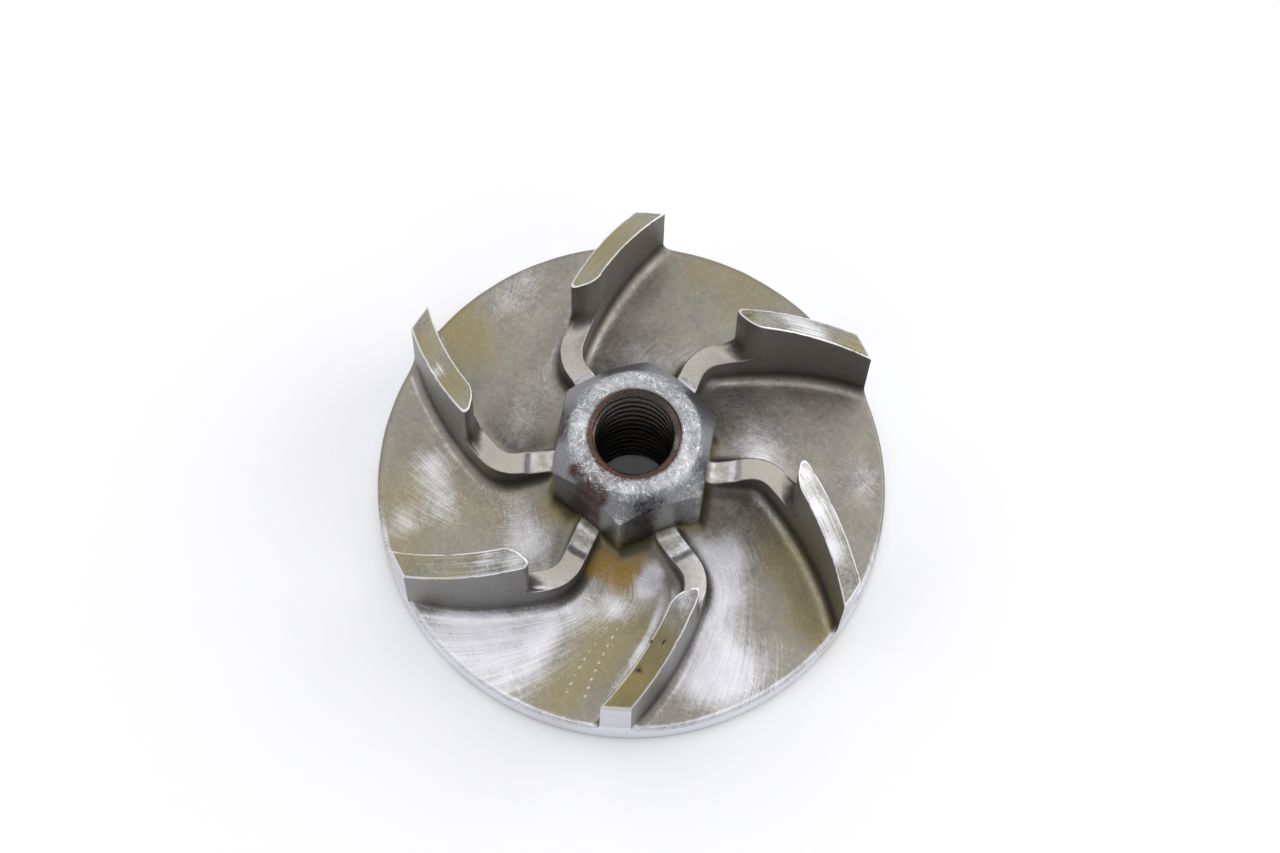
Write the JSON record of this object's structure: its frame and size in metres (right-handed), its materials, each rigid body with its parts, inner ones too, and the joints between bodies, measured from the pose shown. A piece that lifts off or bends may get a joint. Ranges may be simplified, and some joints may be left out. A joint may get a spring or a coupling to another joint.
{
  "type": "pump impeller",
  "caption": "Open pump impeller with swept blades on a dished disc and a hexagonal hub with a threaded hole.",
  "frame": {"origin": "centre of the flat back face, on the axis of the threaded hole", "axes": "+Z along the hub, out of the bladed face; seen from +Z each blade sweeps clockwise from the hub out to the rim; +Y passes close to one blade's outer end"},
  "size_m": [0.045, 0.045, 0.0171],
  "materials": {
    "casting": "cast, tops turned, tarnished"
  },
  "bodies": {
    "root": {"impeller": "casting"}
  },
  "joints": []
}
